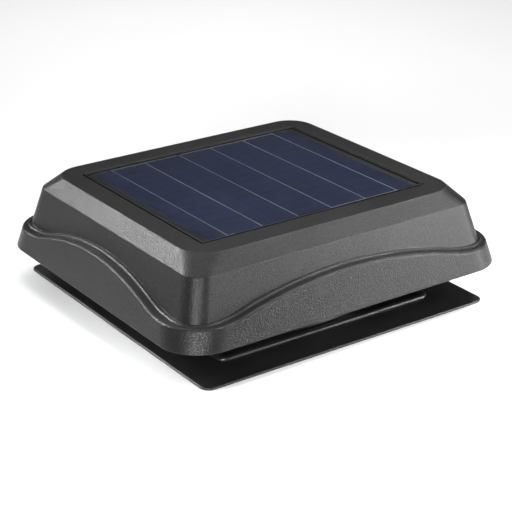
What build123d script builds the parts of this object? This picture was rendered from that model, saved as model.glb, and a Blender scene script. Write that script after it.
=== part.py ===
"""Solar attic fan: a roof ventilator with a moulded hood, a flush solar panel and a 12 in fan.

Frame: the origin is the centre of the flashing's underside, which lies on the roof deck.
+X runs along the hood's longer side, -Y is its front and +Z is up. All sizes are in mm.
"""
from build123d import *
from math import atan2, cos, degrees, hypot, pi, radians, sin, sqrt, tan
import os

# ------------------------------------------------------------------ driving dimensions
# hood
HOOD_X, HOOD_Y = 600.0, 540.0          # bottom edge of the skirt
HOOD_BOTTOM, HOOD_TOP = 59.5, 179.0
WALL = 3.0
SKIRT_DRAFT, BODY_DRAFT = 12.0, 14.0   # degrees from vertical
CREASE_Z, CREASE_INSET = 155.5, 42.7   # where the shoulder chamfer starts
TOP_INSET = 61.4
BOTTOM_RADIUS, SKIRT_RADIUS_GAIN = 65.0, 0.12   # skirt corner radius, and its gain per mm up
BODY_RADIUS, TOP_RADIUS = 30.0, 45.0
LEDGE_Z = 93.0                         # level part of the ledge, round the corners
FRONT_ARCH = (123.5, 765.0, 180.0)     # peak height, main radius, reverse radius
SIDE_ARCH = (124.5, 480.0, 150.0)
LEDGE_ROUND, SHOULDER_ROUND, TOP_ROUND = 4.5, 3.5, 2.0
OPENING_X, OPENING_Y = 410.0, 342.0    # opening for the panel
RIM_WALL, RIM_BOTTOM = 2.5, 160.0      # downturned rim round the opening

# solar panel
FRAME_X, FRAME_Y = 404.0, 336.0
FRAME_TOP, FRAME_BOTTOM = 178.9, 153.0
FRAME_WALL, SHELF_TOP, SHELF_WIDTH, FLANGE_WIDTH = 1.6, 173.3, 9.0, 14.0
LAMINATE_GAP = 0.8
BACKSHEET_BOTTOM, BACKSHEET_TOP = 173.7, 174.1
CELL_BOTTOM, CELL_TOP = 174.5, 174.8
GLASS_BOTTOM, GLASS_TOP = 175.1, 178.3
CELL_COLUMNS, CELL_ROWS = 3, 12
CELL_PITCH_X, CELL_PITCH_Y, CELL_GAP = 125.5, 27.0, 0.3
BUSBAR_OFFSET, BUSBAR_WIDTH = 30.4, 1.2

# flashing
FLASHING, FLASHING_T, FLASHING_RADIUS = 520.0, 3.5, 15.0
BEAD_X, BEAD_Y, BEAD_WIDTH, BEAD_HEIGHT, BEAD_RADIUS = 192.5, 199.0, 10.0, 4.5, 16.0
NAIL_NEAR, NAIL_FAR, NAIL_R = 120.0, 240.0, 1.75     # roofing nail holes

# hood fixings
BOSS_X, BOSS_Y = 216.0, 186.0
LEG_FOOT_IN, LEG_FACE, LEG_TAB_OUT = 203.0, 228.0, 298.0    # distances from the axis
LEG_T, LEG_WIDTH, LEG_TOP, LEG_RIVET = 2.5, 24.0, 142.0, 213.0
BOLT_R, BOLT_HEAD_R, BOLT_HEAD_T, BOLT_TIP = 2.5, 4.75, 3.2, 165.0
BRACKET_BOLT_X, BRACKET_BOLT_Y = 222.0, 188.0

# venturi, arms and screen
THROAT_R, VENTURI_T, VENTURI_TOP = 158.0, 1.6, 51.0
VENTURI_FLANGE_R, VENTURI_LIP_R = 184.0, 165.0
RIVET_CIRCLE, RIVET_R = 176.0, 2.4
ARM_T, ARM_WIDTH, ARM_TOP = 2.5, 20.0, 57.5
PLATE_R, PLATE_T, PLATE_BORE = 52.0, 2.5, 16.0
ARM_ANGLES = (45, 135, 225, 315)
SCREEN_R, SCREEN_T, SCREEN_TOP = 186.0, 1.0, 131.0
SCREEN_PANELS, SCREEN_SLOT, SCREEN_BAR = 12, 6.0, 2.5

# motor
CAN_R, CAN_T, CAN_BOTTOM, CAN_TOP = 40.0, 1.6, 74.0, 119.0
CAP_R, CAP_BOTTOM = 42.0, 64.5
SHAFT_R, SHAFT_BOTTOM, SHAFT_END = 4.0, 12.0, 116.5
STATOR_BOTTOM, STATOR_TOP, STATOR_BORE, TEETH = 80.0, 100.0, 20.5, 9
MAGNET_R, ROTOR_CORE_R, POLES = 20.0, 17.0, 8
BEARING_R, BEARING_W, BALL_R, BALLS = 11.0, 7.0, 1.984, 7
BEARING_PITCH, CAGE_R, CAGE_INNER_R = 7.5, 8.2, 6.8
LOWER_BEARING, UPPER_BEARING = 66.5, 109.0      # lower face of each bearing
BOARD_BOTTOM, BOARD_T = 105.0, 1.6
MOTOR_SCREW_CIRCLE, MOTOR_SCREW_R = 27.0, 2.0

# fan wheel
BLADES, BLADE_TIP_R, BLADE_ROOT_R = 5, 152.4, 58.0
BLADE_CHORD, BLADE_PITCH, BLADE_CAMBER_R, BLADE_T = 92.0, 24.0, 150.0, 1.5
CAMBER_RISE = 3.5                      # how far the blade's middle hangs below the wheel plane
WHEEL_Z = 29.0
HUB_R, HUB_BOTTOM, HUB_TOP = 13.0, 20.0, 47.0
RIVET_PLACES = ((68.0, 0.0), (86.0, 8.0), (86.0, -8.0))    # along and across each blade
SPIDER_T, SPIDER_DISC_R, SPIDER_REACH, TONGUE_WIDTH = 2.5, 40.0, 96.0, 34.0

# wiring
LEAD_R, LEAD_BEND = 2.5, 18.0
LEAD_DROP_R = 168.0                    # distance of the vertical run from the axis
LEAD_Z, ARM_LEAD_Z, GROMMET_Z = 165.0, 64.0, 110.0
BOX_CENTRE_X, BOX_X, BOX_Y = 45.0, 84.0, 56.0
BOX_BOTTOM, LID_T, BOX_WALL = 158.4, 2.0, 2.0
SWITCH_CIRCLE, SWITCH_R = 112.0, 7.5

DIAGONAL = sqrt(0.5)
LEAD_DROP = LEAD_DROP_R * DIAGONAL       # the vertical run's distance along x and along y
BOX_CENTRE_Y = LEAD_DROP
parts = {}


# ------------------------------------------------------------------ helpers
def block(x0, x1, y0, y1, z0, z1):
    """A box from its low and high corners."""
    return Pos((x0 + x1) / 2, (y0 + y1) / 2, (z0 + z1) / 2) * Box(x1 - x0, y1 - y0, z1 - z0)


def rod(radius, z0, z1, x=0.0, y=0.0):
    """A vertical cylinder."""
    return Pos(x, y, (z0 + z1) / 2) * Cylinder(radius, z1 - z0)


def ring(outer, inner, z0, z1, x=0.0, y=0.0):
    """A vertical tube."""
    return rod(outer, z0, z1, x, y) - rod(inner, z0 - 1, z1 + 1, x, y)


def slab(size_x, size_y, radius, z0, z1):
    """A flat plate with rounded corners."""
    return extrude(Plane.XY.offset(z0) * RectangleRounded(size_x, size_y, radius), z1 - z0)


def window(size_x, size_y, width, z0, z1):
    """A rectangular ring of the given band width, square cornered."""
    outer = block(-size_x / 2, size_x / 2, -size_y / 2, size_y / 2, z0, z1)
    inner_x, inner_y = size_x / 2 - width, size_y / 2 - width
    return outer - block(-inner_x, inner_x, -inner_y, inner_y, z0 - 1, z1 + 1)


def polar(radius, angle):
    """The x and y of a point at a radius and an angle in degrees."""
    return radius * cos(radians(angle)), radius * sin(radians(angle))


def turned(shape, angle):
    """The shape turned about the vertical axis."""
    return Rot(0, 0, angle) * shape


def around(shape, count, start=0.0):
    """Copies of a shape, evenly spaced about the vertical axis."""
    return [turned(shape, start + 360.0 / count * step) for step in range(count)]


def revolved(points):
    """A full turn about the vertical axis of a closed outline of (radius, height) points."""
    outline = make_face(Polyline(*[(r, 0, z) for r, z in points], close=True))
    return revolve(outline, Axis.Z)


def bent_strip(points, thickness, radius):
    """The face of a bent sheet in the XZ plane; the sheet lies to one side of the path."""
    path = FilletPolyline(*[(r, z) for r, z in points], radius=radius)
    outline = offset(path, amount=thickness, side=Side.RIGHT, closed=True)
    return Plane.XZ * make_face(outline)


def group(solids):
    """Separate solids kept together in one node."""
    loose = []
    for item in solids:
        loose.extend(item.solids())
    return Compound(children=loose)


def add(name, shape):
    """Keeps a finished piece under its name."""
    parts[name] = shape


# ------------------------------------------------------------------ hood
def frustum(z0, half0, radius0, z1, half1, radius1):
    """A tapered block between two rounded rectangles, given by their half sizes."""
    low = Plane.XY.offset(z0) * RectangleRounded(2 * half0[0], 2 * half0[1], radius0)
    high = Plane.XY.offset(z1) * RectangleRounded(2 * half1[0], 2 * half1[1], radius1)
    return loft([low, high], ruled=True)


def inset_half(inset):
    """Half sizes of the hood's outline moved in by an inset."""
    return HOOD_X / 2 - inset, HOOD_Y / 2 - inset


def on_circle(centre, radius, angle):
    """A point of a circle, the angle in radians."""
    return centre[0] + radius * cos(angle), centre[1] + radius * sin(angle)


def arch_outline(arch, half_length, bottom, shift):
    """The region under an arched ledge, with its curve moved down by the shift."""
    peak, main_radius, reverse_radius = arch
    level = LEDGE_Z - shift
    main_radius -= shift
    reverse_radius += shift
    centre = (0.0, peak - shift - main_radius)
    rise = level + reverse_radius - centre[1]
    end = sqrt((main_radius + reverse_radius) ** 2 - rise ** 2)
    slope = atan2(rise, end)
    joint = on_circle(centre, main_radius, slope)
    middle = on_circle((end, level + reverse_radius), reverse_radius, (slope + pi + 3 * pi / 2) / 2)
    left_joint, left_middle = (-joint[0], joint[1]), (-middle[0], middle[1])
    curves = [
        Polyline((-end, level), (-half_length, level), (-half_length, bottom),
                 (half_length, bottom), (half_length, level), (end, level)),
        ThreePointArc((end, level), middle, joint),
        ThreePointArc(joint, (0, peak - shift), left_joint),
        ThreePointArc(left_joint, left_middle, (-end, level)),
    ]
    return make_face(curves)


def hood_block(shift, bottom):
    """The hood as a full block, with every outer surface moved in by the shift."""
    body_slope = tan(radians(BODY_DRAFT))
    skirt_slope = tan(radians(SKIRT_DRAFT))
    shoulder_slope = (TOP_INSET - CREASE_INSET) / (HOOD_TOP - CREASE_Z)
    body_shift = shift * sqrt(1 + body_slope ** 2)
    shoulder_shift = shift * sqrt(1 + shoulder_slope ** 2)
    crease_drop = (shoulder_shift - body_shift) / (shoulder_slope - body_slope)
    crease_z = CREASE_Z - crease_drop
    crease_half = inset_half(CREASE_INSET - crease_drop * body_slope + body_shift)
    top_z = HOOD_TOP - shift
    top_half = inset_half(TOP_INSET - shift * shoulder_slope + shoulder_shift)
    root_z = bottom + 15.0
    root_half = inset_half(CREASE_INSET - (CREASE_Z - root_z) * body_slope + body_shift)
    body = frustum(root_z, root_half, BODY_RADIUS - shift, crease_z, crease_half, BODY_RADIUS - shift)
    shoulder = frustum(crease_z, crease_half, BODY_RADIUS - shift, top_z, top_half, TOP_RADIUS - shift)

    skirt_top = FRONT_ARCH[0] + 10.0
    skirt_shift = shift * sqrt(1 + skirt_slope ** 2)
    low_half = inset_half((bottom - HOOD_BOTTOM) * skirt_slope + skirt_shift)
    high_half = inset_half((skirt_top - HOOD_BOTTOM) * skirt_slope + skirt_shift)
    low_radius = BOTTOM_RADIUS + (bottom - HOOD_BOTTOM) * SKIRT_RADIUS_GAIN - shift
    high_radius = BOTTOM_RADIUS + (skirt_top - HOOD_BOTTOM) * SKIRT_RADIUS_GAIN - shift
    skirt = frustum(bottom, low_half, low_radius, skirt_top, high_half, high_radius)
    front = extrude(Plane.XZ * arch_outline(FRONT_ARCH, HOOD_X, bottom, shift), HOOD_Y, both=True)
    side = extrude(Plane.YZ * arch_outline(SIDE_ARCH, HOOD_Y, bottom, shift), HOOD_X, both=True)
    return body + shoulder + (skirt & (front + side))


def softened(block_shape):
    """The outer block with its ledge, shoulder and top edges rounded."""
    def spans(edge, low, high):
        box = edge.bounding_box()
        return box.min.Z > low and box.max.Z < high

    ledge = [edge for edge in block_shape.edges()
             if spans(edge, LEDGE_Z - 1, SIDE_ARCH[0] + 1) and edge.geom_type != GeomType.LINE]
    result = fillet(ledge, LEDGE_ROUND)
    shoulder = [edge for edge in result.edges() if spans(edge, CREASE_Z - 0.1, CREASE_Z + 0.1)]
    result = fillet(shoulder, SHOULDER_ROUND)
    top = [edge for edge in result.edges() if spans(edge, HOOD_TOP - 0.1, HOOD_TOP + 0.1)]
    return fillet(top, TOP_ROUND)


def make_hood():
    """The moulded hood: skirt, arched ledge, body, shoulder and top, with its inner bosses."""
    shell = softened(hood_block(0.0, HOOD_BOTTOM)) - hood_block(WALL, HOOD_BOTTOM - 5.0)
    opening = slab(OPENING_X, OPENING_Y, 2.0, RIM_BOTTOM - 1, HOOD_TOP + 1)
    rim = slab(OPENING_X + 2 * RIM_WALL, OPENING_Y + 2 * RIM_WALL, 4.0, RIM_BOTTOM, HOOD_TOP - 1)
    shell = shell + rim - opening
    boss_top = HOOD_TOP - WALL + 1.0
    for sx in (-1, 1):
        for sy in (-1, 1):
            x, y = sx * BOSS_X, sy * BOSS_Y
            shell = shell + rod(6.0, LEG_TOP, boss_top, x, y)
            shell = shell - rod(BOLT_R + 0.05, LEG_TOP - 1, BOLT_TIP + 2, x, y)
    for x, y in ((BRACKET_BOLT_X, 0), (-BRACKET_BOLT_X, 0), (0, BRACKET_BOLT_Y), (0, -BRACKET_BOLT_Y)):
        shell = shell + rod(5.0, FRAME_BOTTOM, boss_top, x, y)
        shell = shell - rod(1.8, FRAME_BOTTOM - 1, FRAME_BOTTOM + 16, x, y)
    add("hood_shell", shell)


def leg_angles():
    """Directions of the four legs, each towards its boss in the hood's corner."""
    first = degrees(atan2(BOSS_Y, BOSS_X))
    return (first, 180 - first, 180 + first, 360 - first)


def make_hood_fixings():
    """Bent legs riveted to the flashing that carry the hood, and the bolts up into its bosses."""
    seat = LEG_TOP - LEG_T
    path = [(LEG_TAB_OUT, seat), (LEG_FACE, seat), (LEG_FACE, FLASHING_T), (LEG_FOOT_IN, FLASHING_T)]
    leg = extrude(bent_strip(path, LEG_T, 4.0), LEG_WIDTH / 2, both=True)
    ends = leg.edges().filter_by(Axis.Z).filter_by(lambda edge: abs(edge.length - LEG_T) < 0.01)
    leg = fillet(ends, 5.0)
    reach = hypot(BOSS_X, BOSS_Y)
    leg = leg - rod(BOLT_R + 0.3, seat - 1, LEG_TOP + 1, reach) - rod(RIVET_R + 0.05, 0, 9, LEG_RIVET)
    bolt = rod(BOLT_R, seat, BOLT_TIP, reach) + rod(6.5, seat - 1, seat, reach)
    bolt = bolt + rod(BOLT_HEAD_R, seat - 1 - BOLT_HEAD_T, seat - 1, reach)
    socket = Pos(reach, 0, seat - 1 - BOLT_HEAD_T) * extrude(RegularPolygon(2.3, 6), 2.0)
    add("hood_legs", group([turned(leg, angle) for angle in leg_angles()]))
    add("hood_bolts", group([turned(bolt - socket, angle) for angle in leg_angles()]))


# ------------------------------------------------------------------ solar panel
def bracket_points():
    """Where the four panel brackets lie: outward direction, boss distance, frame distance."""
    across = (1.0, 0.0, BRACKET_BOLT_X, FRAME_X / 2 - 7.0)
    along = (0.0, 1.0, BRACKET_BOLT_Y, FRAME_Y / 2 - 7.0)
    points = []
    for ux, uy, boss, hole in (across, along):
        for sign in (1, -1):
            points.append((sign * ux, sign * uy, boss, hole))
    return points


def make_panel_frame():
    """Four mitred aluminium bars with a shelf for the laminate and a lower flange."""
    section = window(FRAME_X, FRAME_Y, FRAME_WALL, FRAME_BOTTOM, FRAME_TOP)
    section = section + window(FRAME_X, FRAME_Y, SHELF_WIDTH, SHELF_TOP - FRAME_WALL, SHELF_TOP)
    section = section + window(FRAME_X, FRAME_Y, FLANGE_WIDTH, FRAME_BOTTOM, FRAME_BOTTOM + FRAME_WALL)
    for ux, uy, _, hole in bracket_points():
        section = section - rod(1.8, FRAME_BOTTOM - 1, FRAME_BOTTOM + 3, ux * hole, uy * hole)
    half_x, half_y, depth = FRAME_X / 2, FRAME_Y / 2, 30.0
    height = FRAME_TOP - FRAME_BOTTOM + 2
    bars = {
        "panel_frame_front": [(-half_x, -half_y), (half_x, -half_y),
                              (half_x - depth, depth - half_y), (depth - half_x, depth - half_y)],
        "panel_frame_rear": [(-half_x, half_y), (half_x, half_y),
                             (half_x - depth, half_y - depth), (depth - half_x, half_y - depth)],
        "panel_frame_left": [(-half_x, -half_y), (-half_x, half_y),
                             (depth - half_x, half_y - depth), (depth - half_x, depth - half_y)],
        "panel_frame_right": [(half_x, -half_y), (half_x, half_y),
                              (half_x - depth, half_y - depth), (half_x - depth, depth - half_y)],
    }
    for name, outline in bars.items():
        face = Plane.XY.offset(FRAME_BOTTOM - 1) * make_face(Polyline(*outline, close=True))
        add(name, section & extrude(face, height))
    keys = []
    inner_x, inner_y = half_x - FRAME_WALL, half_y - FRAME_WALL
    low, high = FRAME_BOTTOM + FRAME_WALL, SHELF_TOP - FRAME_WALL
    for sx in (-1, 1):
        for sy in (-1, 1):
            leg_x = block(inner_x - 34, inner_x, inner_y - 6, inner_y, low, high)
            leg_y = block(inner_x - 6, inner_x, inner_y - 34, inner_y, low, high)
            key = leg_x + leg_y
            if sx < 0:
                key = mirror(key, Plane.YZ)
            if sy < 0:
                key = mirror(key, Plane.XZ)
            keys.append(key)
    add("frame_corner_keys", group(keys))


def make_laminate():
    """Glass, encapsulant with the cells and ribbons in it, backsheet and edge sealant."""
    size_x = FRAME_X - 2 * (FRAME_WALL + LAMINATE_GAP)
    size_y = FRAME_Y - 2 * (FRAME_WALL + LAMINATE_GAP)
    half_x, half_y = size_x / 2, size_y / 2
    glass = slab(size_x, size_y, 1.5, GLASS_BOTTOM, GLASS_TOP)
    add("panel_glass", chamfer(glass.edges().filter_by(GeomType.LINE).group_by(Axis.Z)[-1], 0.4))
    cells, ribbons = [], []
    length_x, length_y = CELL_PITCH_X - CELL_GAP, CELL_PITCH_Y - CELL_GAP
    for column in range(CELL_COLUMNS):
        x = (column - (CELL_COLUMNS - 1) / 2) * CELL_PITCH_X
        for row in range(CELL_ROWS):
            y = (row - (CELL_ROWS - 1) / 2) * CELL_PITCH_Y
            cells.append(block(x - length_x / 2, x + length_x / 2, y - length_y / 2,
                               y + length_y / 2, CELL_BOTTOM, CELL_TOP))
    run_y = CELL_ROWS * CELL_PITCH_Y / 2
    for column in range(CELL_COLUMNS):
        x = (column - (CELL_COLUMNS - 1) / 2) * CELL_PITCH_X
        for side in (-1, 1):
            centre = x + side * BUSBAR_OFFSET
            ribbons.append(block(centre - BUSBAR_WIDTH / 2, centre + BUSBAR_WIDTH / 2,
                                 -run_y, run_y, CELL_TOP, GLASS_BOTTOM))
    first, last = -CELL_PITCH_X - BUSBAR_OFFSET, CELL_PITCH_X + BUSBAR_OFFSET
    middle = -BUSBAR_OFFSET - 4.0
    rear_links = ((first - 2, middle), (-BUSBAR_OFFSET + 4.0, last + 2))
    front_links = ((first - 2, first + 12), (BUSBAR_OFFSET - 2, last + 2))
    for links, y0 in ((rear_links, run_y), (front_links, -run_y - 2.5)):
        for x0, x1 in links:
            ribbons.append(block(x0, x1, y0, y0 + 2.5, CELL_TOP, GLASS_BOTTOM))
    film = block(-half_x, half_x, -half_y, half_y, BACKSHEET_TOP, GLASS_BOTTOM)
    for piece in cells + ribbons:
        film = film - piece
    add("panel_encapsulant", film)
    add("solar_cells", group(cells))
    add("cell_ribbons", group(ribbons))
    sheet = block(-half_x, half_x, -half_y, half_y, BACKSHEET_BOTTOM, BACKSHEET_TOP)
    add("panel_backsheet", sheet)
    inner_x, inner_y = FRAME_X - 2 * FRAME_WALL, FRAME_Y - 2 * FRAME_WALL
    bead = window(inner_x, inner_y, LAMINATE_GAP, SHELF_TOP, GLASS_TOP - 0.6)
    add("panel_seal", bead + window(inner_x, inner_y, 7.0, SHELF_TOP, BACKSHEET_BOTTOM))


def make_panel_brackets():
    """Flat brackets under the frame's flange, screwed to the frame and to the hood's bosses."""
    strips, screws = [], []
    top, bottom = FRAME_BOTTOM, FRAME_BOTTOM - 2.0
    for ux, uy, boss, hole in bracket_points():
        strip = block(hole - 6, boss + 6, -14, 14, bottom, top)
        strip = strip - rod(2.0, bottom - 1, top + 1, boss) - rod(2.0, bottom - 1, top + 1, hole)
        angle = degrees(atan2(uy, ux))
        strips.append(turned(strip, angle))
        for distance, length in ((boss, 14.0), (hole, 6.0)):
            head = rod(3.6, bottom - 2.4, bottom, distance)
            slot = block(distance - 3, distance + 3, -0.5, 0.5, bottom - 2.5, bottom - 1.2)
            cross = block(distance - 0.5, distance + 0.5, -3, 3, bottom - 2.5, bottom - 1.2)
            screws.append(turned(head + rod(1.75, bottom, top + length, distance) - slot - cross, angle))
    add("panel_brackets", group(strips))
    add("panel_bracket_screws", group(screws))


def make_junction_box():
    """The box on the backsheet with its lid, terminals, bypass diode and cable gland."""
    x0, x1 = BOX_CENTRE_X - BOX_X / 2, BOX_CENTRE_X + BOX_X / 2
    y0, y1 = BOX_CENTRE_Y - BOX_Y / 2, BOX_CENTRE_Y + BOX_Y / 2
    shell = block(x0, x1, y0, y1, BOX_BOTTOM, BACKSHEET_BOTTOM)
    shell = fillet(shell.edges().filter_by(Axis.Z), 4.0)
    shell = shell - block(x0 + BOX_WALL, x1 - BOX_WALL, y0 + BOX_WALL, y1 - BOX_WALL,
                          BOX_BOTTOM - 1, BACKSHEET_BOTTOM - BOX_WALL)
    bore = Pos(x1, BOX_CENTRE_Y, LEAD_Z) * Rot(0, 90, 0) * Cylinder(4.0, 12)
    add("junction_box", shell - bore)
    lid = block(x0 - 1, x1 + 1, y0 - 1, y1 + 1, BOX_BOTTOM - LID_T, BOX_BOTTOM)
    lid = fillet(lid.edges().filter_by(Axis.Z), 5.0)
    add("junction_box_lid", chamfer(lid.faces().sort_by(Axis.Z)[0].edges(), 0.6))
    ceiling = BACKSHEET_BOTTOM - BOX_WALL
    terminals = []
    for step in range(4):
        x = BOX_CENTRE_X - 27 + 18 * step
        post = block(x - 4, x + 4, BOX_CENTRE_Y + 6, BOX_CENTRE_Y + 20, ceiling - 6, ceiling)
        terminals.append(post - rod(1.6, ceiling - 7, ceiling - 2, x, BOX_CENTRE_Y + 13))
    add("junction_box_terminals", group(terminals))
    middle_y = BOX_CENTRE_Y - 14
    body = Pos(BOX_CENTRE_X, middle_y, ceiling - 3.5) * Rot(0, 90, 0) * Cylinder(2.6, 9)
    leg = Pos(BOX_CENTRE_X, middle_y, ceiling - 3.5) * Rot(0, 90, 0) * Cylinder(0.65, 30)
    add("bypass_diode", body + leg)
    axis = Pos(x1, BOX_CENTRE_Y, LEAD_Z) * Rot(0, 90, 0)
    gland = axis * (Pos(0, 0, 1.5) * extrude(RegularPolygon(6.4, 6), 4.0))
    gland = gland + axis * (Pos(0, 0, 8.5) * Cone(5.6, 4.2, 6))
    gland = gland + axis * (Pos(0, 0, -0.25) * Cylinder(3.95, 3.5))
    gland = gland + axis * (Pos(0, 0, 0.75) * Cylinder(5.8, 1.5))
    add("junction_box_gland", gland - axis * Cylinder(LEAD_R + 0.05, 40))


# ------------------------------------------------------------------ flashing and air path
def rivet_places():
    """Where the flashing's rivets stand, and the height of the sheet that each head lies on."""
    places = []
    for angle in range(0, 360, 45):
        seat = FLASHING_T + VENTURI_T + (ARM_T if angle in ARM_ANGLES else 0.0)
        places.append((*polar(RIVET_CIRCLE, angle), seat))
    for angle in leg_angles():
        places.append((*polar(LEG_RIVET, angle), FLASHING_T + LEG_T))
    return places


def make_flashing():
    """The flat base with its water dam, throat hole, nail holes and rivet holes."""
    plate = slab(FLASHING, FLASHING, FLASHING_RADIUS, 0, FLASHING_T)
    plate = fillet(plate.faces().sort_by(Axis.Z)[-1].edges(), 1.2)
    outer_x, outer_y = 2 * BEAD_X + BEAD_WIDTH, 2 * BEAD_Y + BEAD_WIDTH
    bead = slab(outer_x, outer_y, BEAD_RADIUS, 1, FLASHING_T + BEAD_HEIGHT)
    bead = bead - slab(outer_x - 2 * BEAD_WIDTH, outer_y - 2 * BEAD_WIDTH, BEAD_RADIUS - BEAD_WIDTH,
                       0, FLASHING_T + BEAD_HEIGHT + 1)
    bead = fillet(bead.faces().sort_by(Axis.Z)[-1].edges(), 3.6)
    plate = plate + bead - rod(THROAT_R + VENTURI_T, -1, FLASHING_T + 1)
    for sx in (-1, 1):
        for sy in (-1, 1):
            plate = plate - rod(NAIL_R, -1, 9, sx * NAIL_NEAR, sy * NAIL_FAR)
            plate = plate - rod(NAIL_R, -1, 9, sx * NAIL_FAR, sy * NAIL_NEAR)
    for x, y, _ in rivet_places():
        countersink = Pos(x, y, 0.75) * Cone(RIVET_R + 1.6, RIVET_R + 0.1, 1.5)
        plate = plate - rod(RIVET_R + 0.05, -1, 9, x, y) - countersink
    add("base_flashing", plate)


def make_venturi():
    """The spun throat ring: flange, wall and rolled lip, with the rivets of the flashing."""
    path = [(VENTURI_FLANGE_R, FLASHING_T), (THROAT_R, FLASHING_T), (THROAT_R, VENTURI_TOP),
            (VENTURI_LIP_R, VENTURI_TOP)]
    throat = revolve(bent_strip(path, VENTURI_T, 3.0), Axis.Z)
    rivets = []
    for x, y, seat in rivet_places():
        throat = throat - rod(RIVET_R + 0.05, 0, 9, x, y)
        shank = rod(RIVET_R, 0.3, seat, x, y)
        tail = Pos(x, y, 0.8) * Cone(RIVET_R + 1.0, RIVET_R, 1.0)
        dome = rod(4.2, seat, seat + 1.6, x, y)
        rivets.append(shank + tail + fillet(dome.faces().sort_by(Axis.Z)[-1].edges(), 1.2))
    add("venturi_ring", throat)
    add("base_rivets", group(rivets))


def make_screen():
    """The insect screen: slotted arc panels that stand round the throat, and the slotted lid."""
    inner = SCREEN_R - SCREEN_T
    wall = ring(SCREEN_R, inner, FLASHING_T, SCREEN_TOP)
    foot = ring(SCREEN_R + 1.2, inner, FLASHING_T, FLASHING_T + 6)
    collar = ring(SCREEN_R + 1.2, inner, SCREEN_TOP - 5, SCREEN_TOP)
    half_arc = pi / SCREEN_PANELS
    reach, spread = SCREEN_R * 1.2, SCREEN_R * 1.2 * tan(half_arc)
    wedge = make_face(Polyline((0, 0), (reach, -spread), (reach, spread), close=True))
    panel = (wall + foot + collar) & extrude(wedge, SCREEN_TOP)
    pitch = SCREEN_SLOT + SCREEN_BAR
    rows = int((SCREEN_TOP - FLASHING_T - 15) / pitch)
    slots = []
    for row in range(rows):
        z = FLASHING_T + 9 + pitch * row
        slot = block(SCREEN_R - 12, SCREEN_R + 8, -13.5, 13.5, z, z + SCREEN_SLOT)
        slots.extend(turned(slot, angle) for angle in (-10, 0, 10))
    panels = around(panel - slots, SCREEN_PANELS)
    lid = rod(SCREEN_R + 1.2, SCREEN_TOP, SCREEN_TOP + SCREEN_T)
    slots = []
    for row in range(-20, 21):
        for column in range(-6, 7):
            x, y = column * 29.0, row * pitch
            outside = hypot(abs(x) + 13.5, abs(y) + 3.0) > SCREEN_R - 6
            if not outside and hypot(x - LEAD_DROP, y - LEAD_DROP) > 25:
                slots.append(block(x - 13.5, x + 13.5, y - 3.0, y + 3.0, SCREEN_TOP - 1, SCREEN_TOP + 2))
    lid = lid - slots - rod(6.0, SCREEN_TOP - 1, SCREEN_TOP + 2, LEAD_DROP, LEAD_DROP)
    add("insect_screen", group(panels + [lid]))


# ------------------------------------------------------------------ fan support
def make_arms():
    """Four bent arms from the throat flange over the lip to the motor plate."""
    base = FLASHING_T + VENTURI_T
    path = [(182.5, base), (166.2, base), (166.2, ARM_TOP - ARM_T), (32.0, ARM_TOP - ARM_T)]
    arm = extrude(bent_strip(path, ARM_T, 4.0), ARM_WIDTH / 2, both=True)
    arm = arm - rod(RIVET_R + 0.05, base - 1, base + 4, RIVET_CIRCLE)
    arm = arm - rod(2.1, ARM_TOP - 4, ARM_TOP + 1, 44.0)
    for index, angle in enumerate(ARM_ANGLES):
        add(f"bracket_arm_{index + 1}", turned(arm, angle))


def make_motor_mount():
    """The plate on the arms, its bolts and nuts, and the motor's isolators and screws."""
    plate_top = ARM_TOP + PLATE_T
    plate = ring(PLATE_R, PLATE_BORE, ARM_TOP, plate_top)
    for angle in ARM_ANGLES:
        x, y = polar(44.0, angle)
        plate = plate - rod(2.1, ARM_TOP - 1, plate_top + 1, x, y)
    screws, isolators, fasteners = [], [], []
    for angle in (0, 90, 180, 270):
        x, y = polar(MOTOR_SCREW_CIRCLE, angle)
        plate = plate - rod(MOTOR_SCREW_R + 0.2, ARM_TOP - 1, plate_top + 1, x, y)
        isolators.append(ring(7.5, MOTOR_SCREW_R + 0.1, plate_top, CAP_BOTTOM, x, y))
        head = rod(3.5, ARM_TOP - 2.6, ARM_TOP, x, y)
        socket = Pos(x, y, ARM_TOP - 2.6) * extrude(RegularPolygon(1.8, 6), 1.6)
        screws.append(head + rod(MOTOR_SCREW_R, ARM_TOP, CAP_BOTTOM + 6, x, y) - socket)
    for angle in ARM_ANGLES:
        x, y = polar(44.0, angle)
        head = rod(3.6, ARM_TOP - ARM_T - 2.4, ARM_TOP - ARM_T, x, y)
        fasteners.append(head + rod(2.0, ARM_TOP - ARM_T, plate_top + 4, x, y))
        nut = Pos(x, y, plate_top) * extrude(RegularPolygon(4.0, 6), 3.2)
        fasteners.append(nut - rod(2.0, plate_top - 1, plate_top + 5, x, y))
    add("motor_plate", plate)
    add("vibration_isolators", group(isolators))
    add("motor_mount_screws", group(screws))
    add("bracket_bolts", group(fasteners))


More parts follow.
